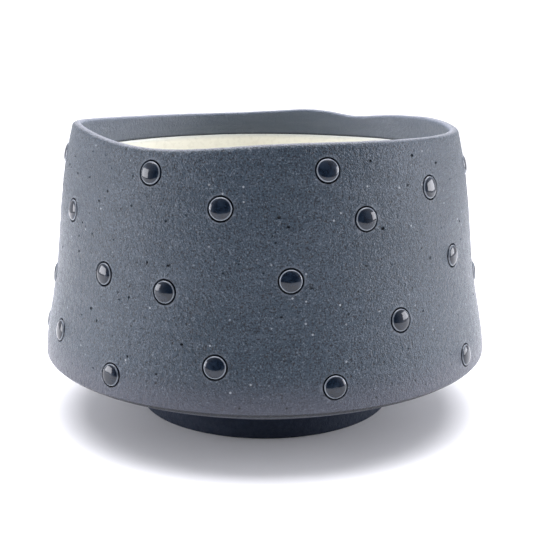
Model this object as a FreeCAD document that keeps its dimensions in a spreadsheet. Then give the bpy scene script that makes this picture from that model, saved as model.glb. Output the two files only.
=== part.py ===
import FreeCAD, Part
import math
import os

import Sketcher

# An empty stoneware candle jar: a wide bowl on a small trimmed foot, with an uneven hand-cut lip,
# a cream liner glaze that stops at a level line below the lip, and glossy domed studs, each one
# seated in a blind round socket in the outer wall.
# The frame: +Z up, the origin at the centre of the foot ring's flat underside. Millimetres.

V = FreeCAD.Vector
RADIAL_PLANE = "XZ_Plane"

# Name, value and meaning of every size that can be set by itself.
SIZES = [
    ("rim_height", 70.0, "mean height of the lip above the table"),
    ("mouth_radius", 47.4, "outside of the wall at the lip"),
    ("lip_inset", 3.5, "how far the wall draws in over its last stretch"),
    ("lip_drop", 15.5, "height of that last stretch"),
    ("lip_band", 3.6, "straight part of the wall below the mean lip"),
    ("shoulder_radius", 55.7, "widest radius"),
    ("shoulder_height", 15.6, "height of the widest radius"),
    ("shoulder_rise", 5.4, "upright stretch of the outline above the shoulder"),
    ("shoulder_tuck", 2.4, "upright stretch of the outline below the shoulder"),
    ("waist_inset", 4.2, "how far the hollow of the wall lies inside the shoulder"),
    ("waist_rise", 19.5, "height of that hollow above the shoulder"),
    ("underside_run", 6.7, "outward run of the underside where it leaves the foot"),
    ("underside_rise", 3.6, "upward run of the underside where it leaves the foot"),
    ("foot_radius", 32.1, "outside of the foot ring"),
    ("foot_height", 4.9, "height of the foot ring's outside"),
    ("foot_ring_width", 5.0, "width of the ring that stands on the table"),
    ("foot_recess", 3.0, "depth of the hollow inside the foot ring"),
    ("foot_bevel", 0.7, "bevel on both edges of the foot ring"),
    ("lip_wall", 2.25, "wall at the lip"),
    ("upper_wall", 3.1, "wall where it starts to draw in to the lip"),
    ("belly_wall", 4.6, "wall at the shoulder"),
    ("floor_wall", 6.4, "thickness of the floor"),
    ("bowl_lift", 5.9, "inner shoulder above the outer one"),
    ("bowl_tuck", 5.5, "upright stretch of the inner outline below its shoulder"),
    ("bowl_run", 8.7, "how far inside the inner shoulder the floor starts to rise"),
    ("floor_inset", 6.1, "how far inside the foot ring the floor's flat ends"),
    ("lip_round", 0.85, "rounding of the lip's two edges"),
    ("rim_room", 3.2, "clay above the mean lip before it is cut to its wave"),
    ("glaze_drop", 6.3, "glaze line below the mean lip"),
    ("glaze_film", 0.4, "thickness of the liner glaze"),
    ("stud_radius", 2.5, "radius of a stud"),
    ("stud_proud", 0.7, "top of a stud above the wall"),
    ("stud_gap", 0.35, "groove between a stud and its socket"),
    ("socket_depth", 0.9, "depth of a stud's socket"),
]

# The lip's wave is a sum of smooth swells: the direction in degrees (counter-clockwise from +X
# seen from above), the half width in degrees and the rise in millimetres.
SWELLS = [
    (-154.0, 48.0, 2.0),
    (-123.0, 30.0, -3.4),
    (-108.0, 58.0, 1.1),
    (22.0, 21.0, 0.9),
    (57.0, 11.0, -1.5),
    (67.0, 21.0, 1.4),
]
WAVE_STEPS = 90
CUTTER_MARGIN = 3.0  # how far the lip's cutter reaches past both faces of the wall
LARGEST_ROUND = 0.42  # of the lip's wall, so that its two roundings never meet

# Where the maker pressed each stud: the direction in degrees, and how far up the wall it is, from
# 0 at the shoulder to 1 at the lip.
STUD_PLACES = [
    (-170, 0.90), (-168, 0.36), (-151.5, 0.17), (-150.5, 0.69), (-133, 0.47), (-127.5, 0.08),
    (-119.5, 0.89), (-114, 0.44), (-101, 0.17), (-100.5, 0.77), (-84, 0.50), (-74.5, 0.91),
    (-74.5, 0.09), (-65, 0.72), (-56.5, 0.31), (-43, 0.81), (-34, 0.51), (-32.5, 0.08),
    (-13, 0.85), (-10, 0.36), (6, 0.62), (13, 0.13), (21, 0.89), (30, 0.40),
    (45, 0.69), (50, 0.17), (62, 0.90), (68, 0.47), (82, 0.75), (86, 0.12),
    (97, 0.52), (106, 0.88), (113, 0.29), (124, 0.67), (134, 0.08), (140, 0.44),
    (150, 0.86), (160, 0.18), (165, 0.60), (-176, 0.11),
]


def make_sheet(doc):
    sheet = doc.addObject("Spreadsheet::Sheet", "sizes")
    for row, (name, value, meaning) in enumerate(SIZES, start=1):
        sheet.set(f"A{row}", name)
        sheet.set(f"B{row}", str(value))
        sheet.set(f"C{row}", meaning)
        sheet.setAlias(f"B{row}", name)
    for row, (direction, width, rise) in enumerate(SWELLS, start=1):
        cells = (("E", "direction", direction), ("F", "width", width), ("G", "rise", rise))
        for column, name, value in cells:
            sheet.set(f"{column}{row}", str(value))
            sheet.setAlias(f"{column}{row}", f"swell{row}_{name}")
    doc.recompute()
    return sheet


def pin(sketch, geometry, end, place, label):
    """Ties a point of a sketch to its two expressions. None puts it on that axis."""
    rules = (("DistanceX", place[0], -2, "r"), ("DistanceY", place[1], -1, "z"))
    for kind, expression, axis, letter in rules:
        if expression is None:
            sketch.addConstraint(Sketcher.Constraint("PointOnObject", geometry, end, axis))
            continue
        value = float(sketch.evalExpression(expression))
        index = sketch.addConstraint(Sketcher.Constraint(kind, -1, 1, geometry, end, value))
        sketch.renameConstraint(index, f"{label}_{letter}")
        sketch.setExpression(f"Constraints.{label}_{letter}", expression)


def start_point(sketch, place):
    values = [0.0 if part is None else float(sketch.evalExpression(part)) for part in place]
    return V(values[0], values[1], 0)


def draw_line(sketch, first, last):
    return sketch.addGeometry(Part.LineSegment(start_point(sketch, first), start_point(sketch, last)), False)


def draw_curve(sketch, places, label):
    """A smooth curve led by its control points, all of them tied but the two ends."""
    points = [start_point(sketch, place) for place in places]
    curve = sketch.addGeometry(Part.BSplineCurve(points, None, None, False, 3, None, False), False)
    for number, point in enumerate(points):
        mark = sketch.addGeometry(Part.Circle(point, V(0, 0, 1), 1.0), True)
        sketch.addConstraint(Sketcher.Constraint("Weight", mark, 1.0))
        role = "InternalAlignment:Sketcher::BSplineControlPoint"
        sketch.addConstraint(Sketcher.Constraint(role, mark, 3, curve, number))
        if 0 < number < len(points) - 1:
            pin(sketch, mark, 3, places[number], f"{label}_{number}")
    return curve


def draw_outline(sketch, stretches):
    """A closed outline. Each stretch is (name, its points): two make a line, more lead a curve."""
    drawn = []
    for name, places in stretches:
        if len(places) == 2:
            drawn.append(draw_line(sketch, *places))
        else:
            drawn.append(draw_curve(sketch, places, name))
    for number, (name, places) in enumerate(stretches):
        following = drawn[(number + 1) % len(drawn)]
        sketch.addConstraint(Sketcher.Constraint("Coincident", drawn[number], 2, following, 1))
        pin(sketch, drawn[number], 2, places[-1], f"{name}_end")
    return dict(zip([name for name, _ in stretches], drawn))


def turned_body(doc, name, stretches):
    """A body turned about +Z from a closed outline of (radius, height) points."""
    body = doc.addObject("PartDesign::Body", name)
    sketch = body.newObject("Sketcher::SketchObject", f"{name}_outline")
    plane = next(item for item in body.Origin.OriginFeatures if item.Role == RADIAL_PLANE)
    sketch.AttachmentSupport = (plane, [""])
    sketch.MapMode = "FlatFace"
    drawn = draw_outline(sketch, stretches)
    turning = body.newObject("PartDesign::Revolution", f"{name}_turning")
    turning.Profile = sketch
    turning.ReferenceAxis = (sketch, ["V_Axis"])
    turning.Angle = 360.0
    body.Tip = turning
    return body, sketch, drawn


def on_lip_slope(radius, inset, rise):
    """A point on the straight slope of the wall at the lip, some way above or below the mean lip."""
    return (f"{radius} - ({inset}) / sizes.lip_drop * ({rise})", f"sizes.rim_height + ({rise})")


def jar_blank(doc):
    """The turned outside, still full inside, with its foot ring."""
    ring_inside = "sizes.foot_radius - sizes.foot_ring_width"
    recess_centre = (None, "sizes.foot_recess")
    recess_corner = (ring_inside, "sizes.foot_recess")
    ring_inner_edge = (ring_inside, "sizes.foot_bevel")
    ring_inner_face = (f"{ring_inside} + sizes.foot_bevel", None)
    ring_outer_face = ("sizes.foot_radius - sizes.foot_bevel", None)
    ring_outer_edge = ("sizes.foot_radius", "sizes.foot_bevel")
    foot_top = ("sizes.foot_radius", "sizes.foot_height")
    shoulder = ("sizes.shoulder_radius", "sizes.shoulder_height")
    slope = ("sizes.mouth_radius", "sizes.lip_inset")
    band = on_lip_slope(*slope, "-sizes.lip_band")
    top = on_lip_slope(*slope, "sizes.rim_room")
    top_centre = (None, top[1])
    underside = [
        foot_top,
        ("sizes.foot_radius + sizes.underside_run", "sizes.foot_height + sizes.underside_rise"),
        ("sizes.shoulder_radius", "sizes.shoulder_height - sizes.shoulder_tuck"),
        shoulder,
    ]
    wall = [
        shoulder,
        ("sizes.shoulder_radius", "sizes.shoulder_height + sizes.shoulder_rise"),
        ("sizes.shoulder_radius - sizes.waist_inset", "sizes.shoulder_height + sizes.waist_rise"),
        on_lip_slope(*slope, "-sizes.lip_drop"),
        band,
    ]
    return turned_body(doc, "jar_blank", [
        ("recess", [recess_centre, recess_corner]),
        ("ring_inside", [recess_corner, ring_inner_edge]),
        ("inner_bevel", [ring_inner_edge, ring_inner_face]),
        ("ring_face", [ring_inner_face, ring_outer_face]),
        ("outer_bevel", [ring_outer_face, ring_outer_edge]),
        ("foot_side", [ring_outer_edge, foot_top]),
        ("underside", underside),
        ("wall", wall),
        ("lip", [band, top]),
        ("blank_top", [top, top_centre]),
        ("axis", [top_centre, recess_centre]),
    ])


def jar_hollow(doc, name, film):
    """The space inside the wall, drawn in all round by the thickness of a film."""
    floor = f"sizes.foot_recess + sizes.floor_wall + {film}"
    belly = f"sizes.shoulder_radius - sizes.belly_wall - {film}"
    inner_shoulder = "sizes.shoulder_height + sizes.bowl_lift"
    floor_centre = (None, floor)
    floor_edge = (f"sizes.foot_radius - sizes.floor_inset - {film}", floor)
    shoulder = (belly, inner_shoulder)
    slope = (
        f"sizes.mouth_radius - sizes.lip_wall - {film}",
        "sizes.lip_inset - sizes.upper_wall + sizes.lip_wall",
    )
    band = on_lip_slope(*slope, "-sizes.lip_band")
    top = on_lip_slope(*slope, "2 * sizes.rim_room")
    top_centre = (None, top[1])
    bowl = [
        floor_edge,
        (f"{belly} - sizes.bowl_run", floor),
        (belly, f"{inner_shoulder} - sizes.bowl_tuck + {film}"),
        shoulder,
    ]
    wall = [
        shoulder,
        (belly, f"{inner_shoulder} + sizes.shoulder_rise"),
        (f"{belly} - sizes.waist_inset", f"{inner_shoulder} + sizes.waist_rise"),
        on_lip_slope(*slope, "-sizes.lip_drop"),
        band,
    ]
    body, _, _ = turned_body(doc, name, [
        ("floor", [floor_centre, floor_edge]),
        ("bowl", bowl),
        ("wall", wall),
        ("lip", [band, top]),
        ("hollow_top", [top, top_centre]),
        ("axis", [top_centre, floor_centre]),
    ])
    return body


def swell_height(sheet, direction):
    """The lip's height above its mean in one direction, in degrees."""
    height = 0.0
    for number in range(1, len(SWELLS) + 1):
        centre = sheet.get(f"swell{number}_direction")
        width = sheet.get(f"swell{number}_width")
        turn = (direction - centre + 180.0) % 360.0 - 180.0
        height += sheet.get(f"swell{number}_rise") * math.exp(-((turn / width) ** 2))
    return height


def wave_curve(sheet, radius):
    """A closed curve at one radius that rises and falls with the lip's swells."""
    points = []
    for step in range(WAVE_STEPS):
        direction = 360.0 * step / WAVE_STEPS
        angle = math.radians(direction)
        height = sheet.get("rim_height") + swell_height(sheet, direction)
        points.append(V(radius * math.cos(angle), radius * math.sin(angle), height))
    curve = Part.BSplineCurve()
    curve.interpolate(points, PeriodicFlag=True)
    return curve.toShape()


def lip_cutter(doc, sheet):
    """Everything above the wavy lip, as a ring that spans the wall."""
    inside = wave_curve(sheet, sheet.get("mouth_radius") - sheet.get("lip_wall") - CUTTER_MARGIN)
    outside = wave_curve(sheet, sheet.get("mouth_radius") + CUTTER_MARGIN)
    under = Part.makeRuledSurface(inside, outside)
    cutter = doc.addObject("Part::Feature", "lip_cutter")
    cutter.Shape = under.extrude(V(0, 0, 2 * sheet.get("rim_room") + CUTTER_MARGIN))
    return cutter


def cut(doc, name, base, tool):
    result = doc.addObject("Part::Cut", name)
    result.Base = base
    result.Tool = tool
    doc.recompute()
    return result


def rounded_lip(doc, sheet, rimmed):
    """Rounds the two edges that run right round the lip."""
    lowest = sheet.get("rim_height") - sheet.get("lip_drop") / 2
    radius = min(sheet.get("lip_round"), LARGEST_ROUND * sheet.get("lip_wall"))
    edges = []
    for number, edge in enumerate(rimmed.Shape.Edges, start=1):
        goes_round = edge.Length > sheet.get("mouth_radius")
        if goes_round and edge.BoundBox.ZMin > lowest:
            edges.append((number, radius, radius))
    fillet = doc.addObject("Part::Fillet", "rounded_lip")
    fillet.Base = rimmed
    fillet.Edges = edges
    doc.recompute()
    return fillet


def wall_seat(sheet, wall, direction, share):
    """The frame of one stud: +Z out of the wall, the origin on the floor of its socket."""
    shoulder = sheet.get("shoulder_height")
    height = shoulder + share * (sheet.get("rim_height") - shoulder)
    low, high = wall.FirstParameter, wall.LastParameter
    for _ in range(50):
        middle = (low + high) / 2
        if wall.value(middle).y < height:
            low = middle
        else:
            high = middle
    along = wall.tangent(low)[0]
    outward = V(along.y, -along.x, 0)
    point = wall.value(low) - outward * sheet.get("socket_depth")
    turn = FreeCAD.Rotation(V(0, 0, 1), direction)
    normal = turn.multVec(V(outward.x, 0, outward.y))
    place = turn.multVec(V(point.x, 0, point.y))
    return FreeCAD.Placement(place, FreeCAD.Rotation(V(0, 0, 1), normal))


def stud_socket(doc, number, seat):
    socket = doc.addObject("Part::Cylinder", f"socket_{number:02d}")
    socket.setExpression("Radius", "sizes.stud_radius + sizes.stud_gap")
    socket.setExpression("Height", "2 * sizes.socket_depth")
    socket.Placement = seat
    return socket


def stud(doc, number, seat):
    """A low glossy dome on a short round shank that stands on its socket's floor."""
    body = doc.addObject("PartDesign::Body", f"stud_{number:02d}")
    sketch = body.newObject("Sketcher::SketchObject", f"stud_outline_{number:02d}")
    plane = next(item for item in body.Origin.OriginFeatures if item.Role == RADIAL_PLANE)
    sketch.AttachmentSupport = (plane, [""])
    sketch.MapMode = "FlatFace"
    centre = (None, None)
    seat_edge = ("sizes.stud_radius", None)
    shank_top = ("sizes.stud_radius", "sizes.socket_depth")
    crown = (None, "sizes.socket_depth + sizes.stud_proud")
    base = draw_line(sketch, centre, seat_edge)
    shank = draw_line(sketch, seat_edge, shank_top)
    edge_point, top_point = start_point(sketch, shank_top), start_point(sketch, crown)
    rise = top_point.y - edge_point.y
    sphere = (edge_point.x ** 2 + rise ** 2) / (2 * rise)
    middle = V(0, top_point.y - sphere, 0)
    start = math.atan2(edge_point.y - middle.y, edge_point.x)
    circle = Part.Circle(middle, V(0, 0, 1), sphere)
    dome = sketch.addGeometry(Part.ArcOfCircle(circle, start, math.pi / 2), False)
    axis = draw_line(sketch, crown, centre)
    joins = ((base, 2, shank, 1), (shank, 2, dome, 1), (dome, 2, axis, 1), (axis, 2, base, 1))
    for first, end, second, begin in joins:
        sketch.addConstraint(Sketcher.Constraint("Coincident", first, end, second, begin))
    pin(sketch, base, 2, seat_edge, "seat_edge")
    pin(sketch, shank, 2, shank_top, "shank_top")
    pin(sketch, axis, 1, crown, "crown")
    pin(sketch, axis, 2, centre, "centre")
    sketch.addConstraint(Sketcher.Constraint("PointOnObject", dome, 3, -2))
    turning = body.newObject("PartDesign::Revolution", f"stud_turning_{number:02d}")
    turning.Profile = sketch
    turning.ReferenceAxis = (sketch, ["V_Axis"])
    turning.Angle = 360.0
    body.Tip = turning
    body.Placement = seat
    return body


def liner_glaze(doc, hollow):
    """The film of glaze on the wall and the floor, up to its level line."""
    level = doc.addObject("Part::Cylinder", "glaze_level")
    level.setExpression("Radius", "sizes.shoulder_radius")
    level.setExpression("Height", "sizes.rim_height - sizes.glaze_drop")
    poured = doc.addObject("Part::Common", "poured_glaze")
    poured.Base = hollow
    poured.Tool = level
    drained = jar_hollow(doc, "glazed_hollow", "sizes.glaze_film")
    return cut(doc, "liner_glaze", poured, drained)


def check_and_write(doc, pieces):
    for item in doc.Objects:
        if "Invalid" in item.State or "Error" in item.State:
            raise RuntimeError(f"{item.Label} failed: {item.State}")
    for piece in pieces:
        shape = piece.Shape
        if shape.isNull() or not shape.isValid() or len(shape.Solids) != 1:
            raise RuntimeError(f"{piece.Label} isn't one valid solid")
    os.makedirs("parts", exist_ok=True)
    for piece in pieces:
        piece.Shape.exportStep(os.path.join("parts", f"{piece.Label}.step"))
        print(f"{piece.Label}: {piece.Shape.Volume:.1f} mm3")


def main():
    doc = FreeCAD.newDocument("candle_jar")
    sheet = make_sheet(doc)
    blank, outline, drawn = jar_blank(doc)
    hollow = jar_hollow(doc, "jar_hollow", "0")
    doc.recompute()
    walls = cut(doc, "jar_walls", blank, hollow)
    rimmed = cut(doc, "jar_rimmed", walls, lip_cutter(doc, sheet))
    rounded = rounded_lip(doc, sheet, rimmed)
    wall = outline.Geometry[drawn["wall"]]
    seats = [wall_seat(sheet, wall, *place) for place in STUD_PLACES]
    sockets = doc.addObject("Part::Compound", "stud_sockets")
    sockets.Links = [stud_socket(doc, number, seat) for number, seat in enumerate(seats, start=1)]
    jar = cut(doc, "jar_body", rounded, sockets)
    glaze = liner_glaze(doc, hollow)
    studs = [stud(doc, number, seat) for number, seat in enumerate(seats, start=1)]
    doc.recompute()
    check_and_write(doc, [jar, glaze] + studs)


main()
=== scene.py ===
import math
import random

import bmesh
import bpy
import numpy as np
from mathutils import Matrix, Vector


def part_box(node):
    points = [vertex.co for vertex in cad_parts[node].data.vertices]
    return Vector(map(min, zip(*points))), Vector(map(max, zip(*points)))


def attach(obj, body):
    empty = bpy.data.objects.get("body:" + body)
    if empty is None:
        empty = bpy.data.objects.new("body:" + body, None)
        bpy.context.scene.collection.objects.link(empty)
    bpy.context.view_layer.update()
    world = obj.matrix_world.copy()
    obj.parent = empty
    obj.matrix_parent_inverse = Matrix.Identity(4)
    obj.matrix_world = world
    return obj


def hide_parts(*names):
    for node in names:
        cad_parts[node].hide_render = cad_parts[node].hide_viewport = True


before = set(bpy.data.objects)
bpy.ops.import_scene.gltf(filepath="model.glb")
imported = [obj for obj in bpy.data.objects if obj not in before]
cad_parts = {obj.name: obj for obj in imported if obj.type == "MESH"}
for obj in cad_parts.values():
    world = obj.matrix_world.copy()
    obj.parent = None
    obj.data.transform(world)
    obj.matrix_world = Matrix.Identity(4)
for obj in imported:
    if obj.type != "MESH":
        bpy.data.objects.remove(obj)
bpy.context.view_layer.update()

# ---------------------------------------------------------------- sizes, in metres
MM = 0.001

RIM_HEIGHT = 70.0 * MM          # mean height of the lip
MOUTH_RADIUS = 47.4 * MM        # outside of the wall at the lip
LIP_INSET = 3.5 * MM
LIP_DROP = 15.5 * MM
LIP_BAND = 3.6 * MM
SHOULDER_HEIGHT = 15.6 * MM
SHOULDER_RISE = 5.4 * MM
SHOULDER_TUCK = 2.4 * MM
WAIST_INSET = 4.2 * MM
WAIST_RISE = 19.5 * MM
UNDERSIDE_RUN = 6.7 * MM
UNDERSIDE_RISE = 3.6 * MM
FOOT_RADIUS = 32.1 * MM
FOOT_HEIGHT = 4.9 * MM
FOOT_RING_WIDTH = 5.0 * MM
FOOT_RECESS = 3.0 * MM
FOOT_ROUND = 0.7 * MM
LIP_WALL = 2.25 * MM
UPPER_WALL = 3.1 * MM
BELLY_WALL = 4.6 * MM
BOWL_LIFT = 5.9 * MM
BOWL_TUCK = 5.5 * MM
BOWL_RUN = 8.7 * MM
FLOOR_INSET = 6.1 * MM
LIP_ROUND = 0.85 * MM
STUD_RADIUS = 2.5 * MM
STUD_GAP = 0.35 * MM
SOCKET_DEPTH = 0.9 * MM
STUD_PROUD = 0.7 * MM

# The lip's swells: direction and half width in degrees, and rise.
SWELLS = [
    (-154.0, 48.0, 2.0 * MM),
    (-123.0, 30.0, -3.4 * MM),
    (-108.0, 58.0, 1.1 * MM),
    (22.0, 21.0, 0.9 * MM),
    (57.0, 11.0, -1.5 * MM),
    (67.0, 21.0, 1.4 * MM),
]

# The marks of hand work: how deep each kind is.
THROWING_DEPTH = 0.055 * MM
LUMP_DEPTH = 0.10 * MM
TURNING_DEPTH = 0.05 * MM
INSIDE_DEPTH = 0.05 * MM
LIP_WEAR = 0.07 * MM
MARK_ROOM = 0.06 * MM           # the wall is drawn in by this, so that its marks stay in the CAD box

jar_low, jar_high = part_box("jar_body")
glaze_low, glaze_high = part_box("liner_glaze")
SHOULDER_RADIUS = (jar_high.x - jar_low.x) / 2 - MARK_ROOM
FLOOR_HEIGHT = glaze_low.z
GLAZE_LINE = glaze_high.z
GLAZE_FILM = 0.4 * MM
GLAZE_LINE_WEAR = 0.06 * MM

HOLE_RADIUS = STUD_RADIUS + 0.8 * STUD_GAP   # the socket's flared mouth takes up the rest of the gap
HOLE_FLARE = 0.24 * MM
PIT_COUNT = 320
PIT_TO_STUD = 4.3 * MM          # least distance between centres
PIT_TO_PIT = 1.6 * MM
SMALLEST_PIT = 0.16 * MM
PIT_SPREAD = 0.26 * MM

# How finely the meshes are divided.
COLUMNS = 432
WALL_ROWS = 96
BAND_ROWS = 12
ROUND_STEPS = 7
LINER_COLUMNS = 288
HOLE_SIDES = 56
STUD_SIDES = 48
SEED = 7


# ---------------------------------------------------------------- the jar's outline
def spline(poles, count):
    """Points of a clamped cubic B-spline led by its poles."""
    poles = np.array(poles, float)
    inner = len(poles) - 4
    knots = np.concatenate([[0.0] * 4, np.arange(1, inner + 1) / (inner + 1), [1.0] * 4])
    places = np.linspace(0.0, 1.0, count)
    points = np.zeros((count, 2))
    for row, place in enumerate(places):
        span = min(3 + int(place * (inner + 1)), len(poles) - 1)
        found = poles[span - 3:span + 1].copy()
        for level in range(1, 4):
            for index in range(3, level - 1, -1):
                left = knots[span - 3 + index]
                right = knots[span + 1 + index - level]
                share = (place - left) / (right - left)
                found[index] = (1 - share) * found[index - 1] + share * found[index]
        points[row] = found[3]
    return points


def lip_slope(radius, inset, rise):
    """A point of the wall's straight top. The radius is the one at the mean lip, the rise is from there."""
    return (radius - inset / LIP_DROP * rise, RIM_HEIGHT + rise)


def outside_wall():
    """The wall's outside from the shoulder to well above the lip."""
    slope = (MOUTH_RADIUS, LIP_INSET)
    curve = spline([
        (SHOULDER_RADIUS, SHOULDER_HEIGHT),
        (SHOULDER_RADIUS, SHOULDER_HEIGHT + SHOULDER_RISE),
        (SHOULDER_RADIUS - WAIST_INSET, SHOULDER_HEIGHT + WAIST_RISE),
        lip_slope(*slope, -LIP_DROP),
        lip_slope(*slope, -LIP_BAND),
    ], 400)
    return np.vstack([curve, lip_slope(*slope, LIP_BAND)])


def inside_wall(film):
    """The wall's inside from the floor's flat to well above the lip, drawn in by a film."""
    belly = SHOULDER_RADIUS - BELLY_WALL - film
    inner_shoulder = SHOULDER_HEIGHT + BOWL_LIFT
    floor = FLOOR_HEIGHT + film
    slope = (MOUTH_RADIUS - LIP_WALL - film, LIP_INSET - UPPER_WALL + LIP_WALL)
    bowl = spline([
        (FOOT_RADIUS - FLOOR_INSET - film, floor),
        (belly - BOWL_RUN, floor),
        (belly, inner_shoulder - BOWL_TUCK + film),
        (belly, inner_shoulder),
    ], 120)
    wall = spline([
        (belly, inner_shoulder),
        (belly, inner_shoulder + SHOULDER_RISE),
        (belly - WAIST_INSET, inner_shoulder + WAIST_RISE),
        lip_slope(*slope, -LIP_DROP),
        lip_slope(*slope, -LIP_BAND),
    ], 300)
    return np.vstack([bowl, wall[1:], lip_slope(*slope, LIP_BAND)])


def corner(centre, radius, start, end, steps):
    """Points of an arc in the section, between two angles in degrees."""
    turns = np.radians(np.linspace(start, end, steps))
    return np.column_stack([centre[0] + radius * np.cos(turns), centre[1] + radius * np.sin(turns)])


def lip_height(direction):
    """The lip's height in each direction, which is in radians."""
    height = np.full_like(direction, RIM_HEIGHT)
    for centre, width, rise in SWELLS:
        turn = (np.degrees(direction) - centre + 180.0) % 360.0 - 180.0
        height = height + rise * np.exp(-((turn / width) ** 2))
    return height


def ripple(direction, height, waves, seed):
    """A smooth random swell round the jar, between -1 and 1, that closes on itself.

    Each wave is its turns round the jar, its pitch up the wall in millimetres, and its weight.
    """
    values = np.zeros(np.broadcast(direction, height).shape)
    dice = random.Random(seed)
    total = 0.0
    for turns, pitch, weight in waves:
        for _ in range(3):
            phase = dice.uniform(0, 2 * math.pi)
            count = max(0, turns + dice.choice((-1, 0, 1)))
            turned = count * direction + 2 * math.pi * height / (pitch * MM) + phase
            values = values + weight * np.sin(turned)
            total += weight
    return values / total


def foot_section():
    """From the middle of the recess, over the foot ring, to the top of the foot's outside."""
    inner = FOOT_RADIUS - FOOT_RING_WIDTH
    r = FOOT_ROUND
    flat = np.column_stack([np.linspace(3 * MM, inner - r, 7), np.full(7, FOOT_RECESS)])
    return np.vstack([
        flat[:-1],
        corner((inner - r, FOOT_RECESS - r), r, 90, 0, 5),
        corner((inner + r, r), r, 180, 270, 6),
        np.column_stack([np.linspace(inner + r, FOOT_RADIUS - r, 5)[1:-1], np.zeros(3)]),
        corner((FOOT_RADIUS - r, r), r, -90, 0, 6),
        np.column_stack([np.full(5, FOOT_RADIUS), np.linspace(r, FOOT_HEIGHT - 0.5 * r, 6)[1:]]),
    ])


def underside_section():
    """From the foot's top out to the shoulder."""
    return spline([
        (FOOT_RADIUS + 0.1 * MM, FOOT_HEIGHT),
        (FOOT_RADIUS + UNDERSIDE_RUN, FOOT_HEIGHT + UNDERSIDE_RISE),
        (SHOULDER_RADIUS, SHOULDER_HEIGHT - SHOULDER_TUCK),
        (SHOULDER_RADIUS, SHOULDER_HEIGHT),
    ], 46)[:-1]


# ---------------------------------------------------------------- meshes
def new_object(name, mesh):
    piece = bpy.data.objects.new(name, mesh)
    bpy.context.scene.collection.objects.link(piece)
    return piece


def turned_mesh(name, radii, heights, directions):
    """A closed mesh from rows of rings. The first and last rings are closed by a middle point."""
    rows, columns = radii.shape
    points = np.stack([
        radii * np.cos(directions),
        radii * np.sin(directions),
        heights,
    ], axis=-1).reshape(-1, 3)
    first_middle = [0.0, 0.0, float(heights[0].mean())]
    last_middle = [0.0, 0.0, float(heights[-1].mean())]
    faces = []
    for row in range(rows - 1):
        for column in range(columns):
            after = (column + 1) % columns
            a, b = row * columns + column, row * columns + after
            faces.append((a, b, b + columns, a + columns))
    bottom, top = rows * columns, rows * columns + 1
    last = (rows - 1) * columns
    for column in range(columns):
        after = (column + 1) % columns
        faces.append((bottom, after, column))
        faces.append((top, last + column, last + after))
    mesh = bpy.data.meshes.new(name)
    mesh.from_pydata(points.tolist() + [first_middle, last_middle], [], faces)
    mesh.update()
    return mesh


def jar_mesh():
    """The whole clay body: foot, underside, wall, wavy lip and inside."""
    directions = np.linspace(0, 2 * math.pi, COLUMNS, endpoint=False)
    uneven = ripple(directions, np.zeros(1), [(9, 50, 1.0), (27, 50, 0.8), (61, 50, 0.6)], 3)
    lip = lip_height(directions)
    lip = lip - LIP_WEAR * (1 + uneven)
    outer, inner = outside_wall(), inside_wall(0.0)
    fixed = np.vstack([foot_section(), underside_section()])
    radii = [np.full(COLUMNS, r) for r, _ in fixed]
    heights = [np.full(COLUMNS, z) for _, z in fixed]
    for step in range(WALL_ROWS):
        share = step / WALL_ROWS
        z = SHOULDER_HEIGHT + share * (lip - LIP_ROUND - SHOULDER_HEIGHT)
        heights.append(z)
        radii.append(np.interp(z, outer[:, 1], outer[:, 0]))
    for turn in np.radians(np.linspace(0, 90, ROUND_STEPS)):
        z = lip - LIP_ROUND * (1 - math.sin(turn))
        heights.append(z)
        radii.append(np.interp(z, outer[:, 1], outer[:, 0]) - LIP_ROUND * (1 - math.cos(turn)))
    for turn in np.radians(np.linspace(90, 0, ROUND_STEPS)):
        z = lip - LIP_ROUND * (1 - math.sin(turn))
        heights.append(z)
        radii.append(np.interp(z, inner[:, 1], inner[:, 0]) + LIP_ROUND * (1 - math.cos(turn)))
    band_foot = GLAZE_LINE - 1 * MM
    for step in range(1, BAND_ROWS + 1):
        z = lip - LIP_ROUND + (band_foot - lip + LIP_ROUND) * step / BAND_ROWS
        heights.append(z)
        radii.append(np.interp(z, inner[:, 1], inner[:, 0]))
    hidden = inner[inner[:, 1] < GLAZE_LINE - 3 * MM][::-12]   # the clay behind the glaze
    radii += [np.full(COLUMNS, r) for r, _ in hidden]
    heights += [np.full(COLUMNS, z) for _, z in hidden]
    return turned_mesh("jar", np.array(radii), np.array(heights), directions)


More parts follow.
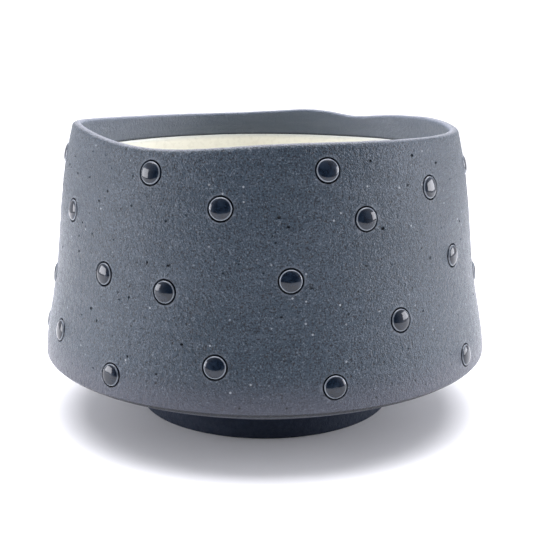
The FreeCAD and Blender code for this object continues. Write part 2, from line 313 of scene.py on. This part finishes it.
def work_the_clay(mesh):
    """Throwing marks, trimming marks and the slight unevenness of hand work."""
    count = len(mesh.vertices)
    points = np.zeros(count * 3)
    mesh.vertices.foreach_get("co", points)
    points = points.reshape(-1, 3)
    direction = np.arctan2(points[:, 1], points[:, 0])
    radius = np.hypot(points[:, 0], points[:, 1])
    z = points[:, 2]
    levels = [0, SHOULDER_HEIGHT, RIM_HEIGHT * 1.1]
    outside = radius > np.interp(z, levels, [0, SHOULDER_RADIUS - 2 * MM, MOUTH_RADIUS - 2 * MM])
    throwing = ripple(direction, z, [(1, 5.3, 1.0), (2, 3.4, 0.7), (1, 9.0, 0.8)], 11)
    lumps = ripple(direction, z, [(3, 60, 1.0), (6, 34, 0.7), (11, 25, 0.4)], 12)
    turning = ripple(direction, z, [(0, 1.9, 1.0), (1, 3.1, 0.8)], 13)
    wall = outside & (z > SHOULDER_HEIGHT)
    under = outside & (z <= SHOULDER_HEIGHT) & (z > 0.5 * MM)
    push = np.zeros(count)
    quiet = np.minimum(1, (z - SHOULDER_HEIGHT) / (6 * MM))   # no lumps at the widest part
    push[wall] = (THROWING_DEPTH * throwing + LUMP_DEPTH * lumps * quiet)[wall]
    push[under] = (TURNING_DEPTH * turning)[under]
    push[~outside] = (INSIDE_DEPTH * throwing)[~outside]
    scale = 1 + push / np.maximum(radius, 5 * MM)
    points[:, 0] *= scale
    points[:, 1] *= scale
    mesh.vertices.foreach_set("co", points.ravel())
    mesh.update()


def stud_frame(node):
    """The seat of one stud from its CAD solid: +Z out of the wall, the origin on the socket's floor."""
    points = np.array([v.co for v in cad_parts[node].data.vertices], float)
    low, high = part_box(node)
    middle = np.array((low + high) / 2)
    _, _, axes = np.linalg.svd(points - points.mean(0))
    out = axes[2] if np.dot(axes[2], middle) > 0 else -axes[2]
    along = points @ out
    seat_points = points[along < along.min() + 0.02 * MM]
    seat = (seat_points.max(0) + seat_points.min(0)) / 2
    seat = seat + out * (along.min() - seat @ out)
    out = Vector(out)
    turn = out.to_track_quat("Z", "Y").to_matrix().to_4x4()
    return Matrix.Translation(Vector(seat)) @ turn


def ring_solid(profile, segments):
    """A closed bmesh turned about +Z from (radius, height) points, with both ends on the axis."""
    solid = bmesh.new()
    rings = []
    for radius, height in profile[1:-1]:
        ring = []
        for step in range(segments):
            turn = 2 * math.pi * step / segments
            ring.append(solid.verts.new((radius * math.cos(turn), radius * math.sin(turn), height)))
        rings.append(ring)
    first = solid.verts.new((0, 0, profile[0][1]))
    last = solid.verts.new((0, 0, profile[-1][1]))
    for step in range(segments):
        after = (step + 1) % segments
        solid.faces.new((first, rings[0][after], rings[0][step]))
        solid.faces.new((last, rings[-1][step], rings[-1][after]))
        for lower, upper in zip(rings, rings[1:]):
            solid.faces.new((lower[step], lower[after], upper[after], upper[step]))
    bmesh.ops.recalc_face_normals(solid, faces=solid.faces)
    return solid


def add_solid(target, solid, matrix):
    """Moves a solid into place and adds it to the target, which keeps it."""
    mesh = bpy.data.meshes.new("part")
    solid.transform(matrix)
    solid.to_mesh(mesh)
    solid.free()
    target.from_mesh(mesh)
    bpy.data.meshes.remove(mesh)


def cutters(seats):
    """The stud sockets, each with a slightly flared mouth, and the pits left by burnt-out grit."""
    tool = bmesh.new()
    cutter_top = SOCKET_DEPTH + 1.2 * MM
    profile = [
        (0, 0), (HOLE_RADIUS - 0.1 * MM, 0), (HOLE_RADIUS, 0.1 * MM),
        (HOLE_RADIUS, SOCKET_DEPTH - 0.14 * MM), (HOLE_RADIUS + 0.06 * MM, SOCKET_DEPTH - 0.05 * MM),
        (HOLE_RADIUS + HOLE_FLARE, SOCKET_DEPTH + 0.12 * MM),
        (HOLE_RADIUS + HOLE_FLARE, cutter_top), (0, cutter_top),
    ]
    for seat in seats:
        add_solid(tool, ring_solid(profile, HOLE_SIDES), seat)
    dice = random.Random(SEED)
    outer = outside_wall()
    centres = [seat.translation for seat in seats]
    pits = []
    while len(pits) < PIT_COUNT:
        direction = dice.uniform(-math.pi, math.pi)
        share = 0.03 + 0.92 * dice.random() ** 0.7
        z = SHOULDER_HEIGHT + share * (RIM_HEIGHT - SHOULDER_HEIGHT)
        radius = float(np.interp(z, outer[:, 1], outer[:, 0]))
        point = Vector((radius * math.cos(direction), radius * math.sin(direction), z))
        if min((point - centre).length for centre in centres) < PIT_TO_STUD:
            continue
        if any((point - other).length < PIT_TO_PIT for other in pits):
            continue
        pits.append(point)
        size = SMALLEST_PIT + PIT_SPREAD * dice.random() ** 2.2
        pit = bmesh.new()
        bmesh.ops.create_icosphere(pit, subdivisions=2, radius=size)
        shape = Matrix.Diagonal((dice.uniform(0.7, 1.1), dice.uniform(0.9, 1.3), dice.uniform(0.8, 1.2), 1))
        place = Matrix.Translation(point) @ Matrix.Rotation(direction, 4, "Z") @ shape
        add_solid(tool, pit, place)
    mesh = bpy.data.meshes.new("cutters")
    tool.to_mesh(mesh)
    tool.free()
    return new_object("cutters", mesh)


def apply_cut(piece, cutter):
    change = piece.modifiers.new("cut", "BOOLEAN")
    change.operation = "DIFFERENCE"
    change.solver = "EXACT"
    change.object = cutter
    graph = bpy.context.evaluated_depsgraph_get()
    result = bpy.data.meshes.new_from_object(piece.evaluated_get(graph))
    piece.modifiers.remove(change)
    old = piece.data
    piece.data = result
    bpy.data.meshes.remove(old)
    bpy.data.objects.remove(cutter)


def smooth(mesh, degrees):
    """Smooth shading, with edges sharper than this angle kept sharp."""
    mesh.shade_smooth()
    mesh.set_sharp_from_angle(angle=math.radians(degrees))


def add_layer(mesh, name, values):
    layer = mesh.attributes.new(name, "FLOAT", "POINT")
    layer.data.foreach_set("value", values.astype(np.float32))


def mark_zones(mesh, seats):
    """Point values for the clay's colours: the lip's edge, the inside, the sockets and pits for painted
    shade, and the socket rims for a painted highlight.
    """
    count = len(mesh.vertices)
    points = np.zeros(count * 3)
    mesh.vertices.foreach_get("co", points)
    points = points.reshape(-1, 3)
    direction = np.arctan2(points[:, 1], points[:, 0])
    radius = np.hypot(points[:, 0], points[:, 1])
    below_lip = lip_height(direction) - points[:, 2]
    outer, inner = outside_wall(), inside_wall(0.0)
    depth = np.interp(points[:, 2], outer[:, 1], outer[:, 0]) - radius
    wall = depth + radius - np.interp(points[:, 2], inner[:, 1], inner[:, 0])
    from_axis = np.full(count, 1.0)
    for seat in seats:
        out = np.array(seat.col[2].xyz)
        offset = points - np.array(seat.translation)
        along = offset @ out
        near = (along > -0.5 * MM) & (along < 3 * MM)
        away = np.linalg.norm(offset - np.outer(along, out), axis=1)
        from_axis = np.where(near, np.minimum(from_axis, away), from_axis)
    on_wall = (points[:, 2] > SHOULDER_HEIGHT - 3 * MM) & (depth < 1.6 * MM) & (below_lip > 1.2 * MM)
    zones = {
        "lip_edge": np.clip(1 - below_lip / (0.9 * MM), 0, 1),
        "inside": np.clip((depth - 0.45 * wall) / (0.2 * MM), 0, 1) * (points[:, 2] > SHOULDER_HEIGHT),
        # Every hollow deeper than 0.17 mm, sockets and pits alike, for painted shade.
        "socket": np.clip((depth - 0.17 * MM) / (0.15 * MM), 0, 1) * on_wall,
        # A ring round each socket's mouth, for a painted highlight.
        "socket_rim_highlight": np.clip(1 - abs(from_axis - HOLE_RADIUS - 0.15 * MM) / (0.17 * MM), 0, 1) * on_wall,
    }
    for name, values in zones.items():
        add_layer(mesh, name, values)


# ---------------------------------------------------------------- materials
class Shader:
    """A short way to write a material's nodes."""

    def __init__(self, name):
        self.material = bpy.data.materials.new(name)
        self.material.use_nodes = True
        self.tree = self.material.node_tree
        self.surface = self.tree.nodes["Principled BSDF"]

    def add(self, kind, settings=None, **values):
        node = self.tree.nodes.new(kind)
        for key, value in (settings or {}).items():
            setattr(node, key, value)
        for key, value in values.items():
            self.feed(node, key.replace("_", " "), value)
        return node

    def feed(self, node, socket, value):
        target = node.inputs[socket]
        if isinstance(value, bpy.types.NodeSocket):
            self.tree.links.new(value, target)
        else:
            target.default_value = value

    def place(self, scale):
        coordinates = self.add("ShaderNodeTexCoord").outputs["Object"]
        return self.add("ShaderNodeMapping", Vector=coordinates, Scale=scale).outputs["Vector"]

    def noise(self, place, scale, detail=3.0, roughness=0.5, distortion=0.0):
        node = self.add(
            "ShaderNodeTexNoise", Vector=place, Scale=scale, Detail=detail,
            Roughness=roughness, Distortion=distortion,
        )
        return node.outputs["Fac"]

    def ramp(self, value, low, high, start=0.0, end=1.0):
        node = self.add("ShaderNodeMapRange", {"interpolation_type": "SMOOTHSTEP"}, Value=value)
        for socket, number in (("From Min", low), ("From Max", high), ("To Min", start), ("To Max", end)):
            node.inputs[socket].default_value = number
        return node.outputs["Result"]

    def math(self, operation, first, second=0.0):
        node = self.add("ShaderNodeMath", {"operation": operation})
        self.feed(node, 0, first)
        self.feed(node, 1, second)
        return node.outputs["Value"]

    def mix(self, share, first, second):
        node = self.add("ShaderNodeMix", {"data_type": "RGBA"})
        self.feed(node, 0, share)
        self.feed(node, 6, first)
        self.feed(node, 7, second)
        return node.outputs[2]

    def attribute(self, name):
        return self.add("ShaderNodeAttribute", {"attribute_name": name}).outputs["Fac"]

    def position(self, axis):
        place = self.add("ShaderNodeTexCoord").outputs["Object"]
        return self.add("ShaderNodeSeparateXYZ", Vector=place).outputs[axis]

    def bump(self, height, distance, strength=1.0, normal=None):
        node = self.add("ShaderNodeBump", Height=height, Distance=distance, Strength=strength)
        if normal is not None:
            self.feed(node, "Normal", normal)
        return node.outputs["Normal"]

    def set(self, **values):
        for key, value in values.items():
            self.feed(self.surface, key.replace("_", " "), value)


def clay_material():
    """Dark slate stoneware: grain, streaks, pale grit, pinholes, paler lip and inside, near-black foot,
    painted light and shade.
    """
    s = Shader("dark_stoneware")
    place = s.place((1, 1, 1))
    streaks = s.noise(s.place((1, 1, 9)), 55, 4, 0.6, 0.4)
    clouds = s.noise(place, 32, 3, 0.55)
    grain = s.noise(place, 2900, 2, 0.6)
    mottle = s.noise(place, 900, 3, 0.65)
    tone = s.mix(s.ramp(clouds, 0.3, 0.7), (0.015, 0.030, 0.048, 1), (0.026, 0.043, 0.065, 1))
    tone = s.mix(s.ramp(streaks, 0.42, 0.75, 0, 0.4), tone, (0.052, 0.070, 0.094, 1))
    tone = s.mix(s.ramp(mottle, 0.55, 0.78, 0, 0.3), tone, (0.068, 0.088, 0.112, 1))
    outside = s.ramp(s.attribute("inside"), 0.9, 0.1)
    dark_grain = s.math("MULTIPLY", s.ramp(grain, 0.49, 0.36, 0, 1), outside)
    tone = s.mix(dark_grain, tone, (0.003, 0.006, 0.011, 1))
    pale_grain = s.math("MULTIPLY", s.ramp(grain, 0.56, 0.72, 0, 0.62), outside)
    tone = s.mix(pale_grain, tone, (0.150, 0.180, 0.212, 1))
    # A paler, mauve band low down where the wall turns under: painted light from the floor.
    floor_light_band = s.ramp(s.position("Z"), 24 * MM, 15 * MM, 0, 0.5)
    tone = s.mix(floor_light_band, tone, (0.078, 0.076, 0.100, 1))
    grit = s.add("ShaderNodeTexVoronoi", Vector=place, Scale=700.0)
    chosen = s.add("ShaderNodeSeparateColor", Color=grit.outputs["Color"]).outputs[0]
    dots = s.math("MULTIPLY", s.ramp(grit.outputs["Distance"], 0.22, 0.10), s.ramp(chosen, 0.92, 0.95))
    tone = s.mix(s.math("MULTIPLY", dots, 0.7), tone, (0.34, 0.37, 0.40, 1))
    pinholes = s.add("ShaderNodeTexVoronoi", Vector=place, Scale=560.0)
    some = s.add("ShaderNodeSeparateColor", Color=pinholes.outputs["Color"]).outputs[1]
    hole = s.math("MULTIPLY", s.ramp(pinholes.outputs["Distance"], 0.20, 0.08), s.ramp(some, 0.78, 0.80))
    hole = s.math("MULTIPLY", hole, outside)
    # Pinholes painted near black: painted shade in the tiny holes.
    tone = s.mix(s.math("MULTIPLY", hole, 0.9), tone, (0.002, 0.004, 0.008, 1))
    # Inside: paler towards its two sides (larger |x|) as painted light, plus random paler streaks.
    across = s.math("ABSOLUTE", s.position("X"))
    side_light_and_streaks = s.math("ADD", s.ramp(across, 10 * MM, 36 * MM, 0, 0.75), s.ramp(streaks, 0.3, 0.7, 0, 0.25))
    inner = s.mix(side_light_and_streaks, (0.070, 0.092, 0.128, 1), (0.140, 0.162, 0.206, 1))
    tone = s.mix(s.attribute("inside"), tone, inner)
    # A dark line on the inside clay just above the glaze line: painted shade under the glaze's edge.
    glaze_line_shade = s.ramp(s.position("Z"), GLAZE_LINE + 0.7 * MM, GLAZE_LINE, 0, 0.9)
    tone = s.mix(s.math("MULTIPLY", glaze_line_shade, s.attribute("inside")), tone, (0.012, 0.017, 0.022, 1))
    edge = s.math("MULTIPLY", s.ramp(s.attribute("lip_edge"), 0.5, 1.0), s.ramp(grain, 0.36, 0.58, 0.1, 1))
    tone = s.mix(edge, tone, (0.17, 0.18, 0.21, 1))
    # A paler ring round each socket's mouth: painted highlight on its edge.
    tone = s.mix(s.math("MULTIPLY", s.attribute("socket_rim_highlight"), 0.45), tone, (0.20, 0.22, 0.26, 1))
    # Sockets and the deeper pits painted near black: painted shade in these recesses.
    tone = s.mix(s.attribute("socket"), tone, (0.004, 0.006, 0.010, 1))
    # Foot painted near black: the clay's own dark tone deepened by painted shade under the overhanging
    # belly.
    foot = s.ramp(s.position("Z"), FOOT_HEIGHT + 0.8 * MM, FOOT_HEIGHT - 0.4 * MM)
    tone = s.mix(foot, tone, (0.0, 0.007, 0.024, 1))
    rough = s.math("ADD", s.ramp(mottle, 0.3, 0.7, 0.28, 0.42), s.math("MULTIPLY", foot, 0.4))
    fine = s.bump(grain, 0.22 * MM, 1.0)
    body = s.bump(mottle, 0.30 * MM, 1.0, fine)
    drawn = s.bump(streaks, 0.16 * MM, 0.4, body)
    pricked = s.bump(s.math("SUBTRACT", 1.0, hole), 0.14 * MM, 1.0, drawn)
    s.set(Base_Color=tone, Roughness=rough, Normal=pricked, IOR=1.44)
    return s.material


def cream_material():
    """Cream liner glaze: greyer where it thins at its line, deeper where it pools on the floor."""
    s = Shader("cream_glaze")
    place = s.place((1, 1, 1))
    clouds = s.noise(place, 60, 3, 0.5)
    specks = s.noise(place, 900, 2, 0.5)
    tone = s.mix(s.ramp(clouds, 0.35, 0.65), (0.92, 0.91, 0.83, 1), (0.95, 0.94, 0.86, 1))
    pooled = s.ramp(s.position("Z"), GLAZE_LINE - 14 * MM, FLOOR_HEIGHT + 6 * MM, 0, 0.9)
    tone = s.mix(pooled, tone, (0.66, 0.64, 0.55, 1))
    thin = s.ramp(s.position("Z"), GLAZE_LINE - 1.6 * MM, GLAZE_LINE - 0.1 * MM, 0, 0.8)
    tone = s.mix(thin, tone, (0.66, 0.68, 0.66, 1))
    tone = s.mix(s.ramp(specks, 0.26, 0.2, 0, 0.4), tone, (0.50, 0.45, 0.36, 1))
    s.set(Base_Color=tone, Roughness=s.ramp(specks, 0.3, 0.7, 0.24, 0.36), IOR=1.5)
    s.set(Normal=s.bump(s.noise(place, 220, 2, 0.5), 0.05 * MM, 0.4))
    return s.material


def black_material():
    """Glossy black glaze of the studs, with the faint orange-peel of a fired drop."""
    s = Shader("black_glaze")
    place = s.place((1, 1, 1))
    peel = s.noise(place, 700, 2, 0.5)
    film = s.noise(place, 500, 3, 0.6)
    tone = s.mix(s.ramp(film, 0.4, 0.7), (0.003, 0.007, 0.015, 1), (0.012, 0.020, 0.034, 1))
    # Pale ring just inside the stud's edge: painted highlight of the steep edge.
    thin = s.math("MULTIPLY", s.attribute("edge_highlight"), s.ramp(film, 0.25, 0.5, 0.5, 0.95))
    tone = s.mix(thin, tone, (0.26, 0.29, 0.33, 1))
    s.set(Base_Color=tone, Roughness=s.ramp(film, 0.3, 0.7, 0.05, 0.13), IOR=1.46)
    s.set(Normal=s.bump(peel, 0.05 * MM, 0.5))
    return s.material


def floor_material():
    """Plain pale paper."""
    s = Shader("pale_floor")
    paper = s.noise(s.place((1, 1, 1)), 40, 3, 0.5)
    s.set(Base_Color=s.mix(paper, (0.90, 0.90, 0.90, 1), (0.93, 0.93, 0.93, 1)), Roughness=0.7)
    return s.material


# ---------------------------------------------------------------- pieces
def finish_piece(piece, material, node):
    piece.data.materials.clear()
    piece.data.materials.append(material)
    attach(piece, "root")
    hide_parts(node)


def make_jar(seats):
    mesh = jar_mesh()
    work_the_clay(mesh)
    jar = new_object("jar", mesh)
    apply_cut(jar, cutters(seats))
    mark_zones(jar.data, seats)
    smooth(jar.data, 38)
    finish_piece(jar, clay_material(), "jar_body")


def make_liner():
    """The glaze film: its back lies on the clay, its front is drawn in, its edge is a soft bead."""
    directions = np.linspace(0, 2 * math.pi, LINER_COLUMNS, endpoint=False)
    back, front = inside_wall(0.0), inside_wall(GLAZE_FILM)
    uneven = ripple(directions, np.zeros(1), [(5, 50, 1.0), (13, 50, 0.7)], 21)
    line = GLAZE_LINE - GLAZE_LINE_WEAR * (1 + uneven)
    top_band = 1.2 * MM             # here the rows follow the line
    bead = 0.9 * MM                 # height of the rounded edge
    radii, heights = [], []
    for r, z in back[back[:, 1] < GLAZE_LINE - top_band][::6]:
        radii.append(np.full(LINER_COLUMNS, r))
        heights.append(np.full(LINER_COLUMNS, z))
    for step in range(1, 5):
        z = line - top_band * (1 - step / 4)
        radii.append(np.interp(z, back[:, 1], back[:, 0]))
        heights.append(z)
    for turn in np.radians(np.linspace(12, 90, 7)):
        z = line - bead * (1 - math.cos(turn))
        radii.append(np.interp(z, back[:, 1], back[:, 0]) - GLAZE_FILM * math.sin(turn))
        heights.append(z)
    for r, z in front[front[:, 1] < GLAZE_LINE - 1.4 * MM][::-3]:
        radii.append(np.full(LINER_COLUMNS, r))
        heights.append(np.full(LINER_COLUMNS, z))
    mesh = turned_mesh("liner", np.array(radii), np.array(heights), directions)
    smooth(mesh, 40)
    finish_piece(new_object("liner", mesh), cream_material(), "liner_glaze")


def mark_edge_highlight(mesh, radius):
    """A narrow ring just inside a stud's edge, painted pale: painted highlight of the steep edge."""
    away = np.array([math.hypot(v.co.x, v.co.y) / radius for v in mesh.vertices])
    low = np.array([v.co.z < SOCKET_DEPTH for v in mesh.vertices])
    ring = np.clip(1 - abs(away - 0.925) / 0.055, 0, 1) * ~low
    add_layer(mesh, "edge_highlight", ring)


CROWN_ANGLES = [4, 10, 15, 19, 23, 27, 31, 36, 43, 52, 62, 72, 81, 90]   # closest at the steep edge


def make_studs(nodes, seats):
    """Each stud is a pillow of glaze: nearly flat on top, steep at its edge."""
    material = black_material()
    dice = random.Random(SEED + 1)
    for node, seat in zip(nodes, seats):
        radius = STUD_RADIUS * dice.uniform(0.995, 1.012)
        proud = STUD_PROUD * dice.uniform(0.85, 0.95)
        tilt = Matrix.Rotation(math.radians(dice.uniform(-1.0, 1.0)), 4, "X")
        profile = [(0, 0), (radius - 0.1 * MM, 0), (radius, 0.1 * MM), (radius, 0.6 * SOCKET_DEPTH)]
        shoulder = 0.72 * SOCKET_DEPTH
        for turn in np.radians(CROWN_ANGLES):
            crown = shoulder + (SOCKET_DEPTH + proud - shoulder) * math.sin(turn)
            profile.append((radius * math.cos(turn) ** 0.85, crown))
        profile[-1] = (0, profile[-1][1])
        solid = ring_solid(profile, STUD_SIDES)
        mesh = bpy.data.meshes.new(node)
        solid.to_mesh(mesh)
        solid.free()
        mark_edge_highlight(mesh, radius)
        mesh.transform(seat @ tilt)
        smooth(mesh, 50)
        finish_piece(new_object(f"dome_{node[-2:]}", mesh), material, node)


# ---------------------------------------------------------------- studio
CAMERA_DISTANCE = 252.5 * MM
CAMERA_HEIGHT = 92.3 * MM
CAMERA_PITCH = 12.98            # degrees down
CAMERA_LENS = 68.0              # millimetres, on a sensor 36 wide
CAMERA_SHIFT = 0.0032
DARK_SIDE = 0.06
BRIGHT_SIDE = 1.05
BACKDROP = 1.3
FLOOR_RADIUS = 0.42
COOL_WHITE = (0.98, 0.98, 1.04)


def make_floor():
    """A round pale table top under the jar."""
    disc = bmesh.new()
    bmesh.ops.create_circle(disc, cap_ends=True, segments=128, radius=FLOOR_RADIUS)
    mesh = bpy.data.meshes.new("floor")
    disc.to_mesh(mesh)
    disc.free()
    floor = new_object("floor", mesh)
    mesh.materials.append(floor_material())


def make_world():
    """A white studio, dim where the photographer stands. The camera itself sees a white backdrop."""
    world = bpy.data.worlds.new("studio")
    bpy.context.scene.world = world
    world.use_nodes = True
    tree = world.node_tree
    background = tree.nodes["Background"]
    place = tree.nodes.new("ShaderNodeTexCoord")
    split = tree.nodes.new("ShaderNodeSeparateXYZ")
    tree.links.new(place.outputs["Generated"], split.inputs[0])
    fade = tree.nodes.new("ShaderNodeMapRange")
    fade.interpolation_type = "SMOOTHSTEP"
    tree.links.new(split.outputs["Y"], fade.inputs["Value"])
    limits = {"From Min": -0.9, "From Max": -0.05, "To Min": DARK_SIDE, "To Max": BRIGHT_SIDE}
    for socket, number in limits.items():
        fade.inputs[socket].default_value = number
    view = tree.nodes.new("ShaderNodeLightPath")
    backdrop = tree.nodes.new("ShaderNodeMix")
    tree.links.new(view.outputs["Is Camera Ray"], backdrop.inputs[0])
    tree.links.new(fade.outputs["Result"], backdrop.inputs[2])
    backdrop.inputs[3].default_value = BACKDROP
    tree.links.new(backdrop.outputs[0], background.inputs["Strength"])
    background.inputs["Color"].default_value = (*COOL_WHITE, 1.0)


def make_light(name, place, target, size, power):
    data = bpy.data.lights.new(name, "AREA")
    data.shape = "RECTANGLE"
    data.size, data.size_y = size
    data.energy = power
    data.color = COOL_WHITE
    light = bpy.data.objects.new(name, data)
    bpy.context.scene.collection.objects.link(light)
    light.location = place
    light.rotation_euler = (Vector(target) - Vector(place)).to_track_quat("-Z", "Y").to_euler()


def make_camera():
    data = bpy.data.cameras.new("camera")
    data.lens = CAMERA_LENS
    data.sensor_width = 36.0
    data.shift_x = CAMERA_SHIFT
    data.clip_start = 0.01
    camera = bpy.data.objects.new("camera", data)
    bpy.context.scene.collection.objects.link(camera)
    camera.location = (0, -CAMERA_DISTANCE, CAMERA_HEIGHT)
    camera.rotation_euler = (math.radians(90 - CAMERA_PITCH), 0, 0)
    bpy.context.scene.camera = camera


def make_studio():
    make_floor()
    make_world()
    middle = (0, 0, RIM_HEIGHT / 2)
    make_light("top", (0.0, 0.25, 0.95), middle, (1.4, 1.2), 25.0)
    make_light("left", (-0.62, -0.06, 0.14), middle, (0.42, 0.26), 2.6)
    make_light("right", (0.62, 0.01, 0.15), middle, (0.42, 0.26), 2.6)
    make_camera()
    bpy.context.scene.view_settings.view_transform = "Standard"


# ---------------------------------------------------------------- the whole
stud_nodes = sorted(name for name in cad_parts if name.startswith("stud_"))
stud_seats = [stud_frame(name) for name in stud_nodes]
make_jar(stud_seats)
make_liner()
make_studs(stud_nodes, stud_seats)
make_studio()
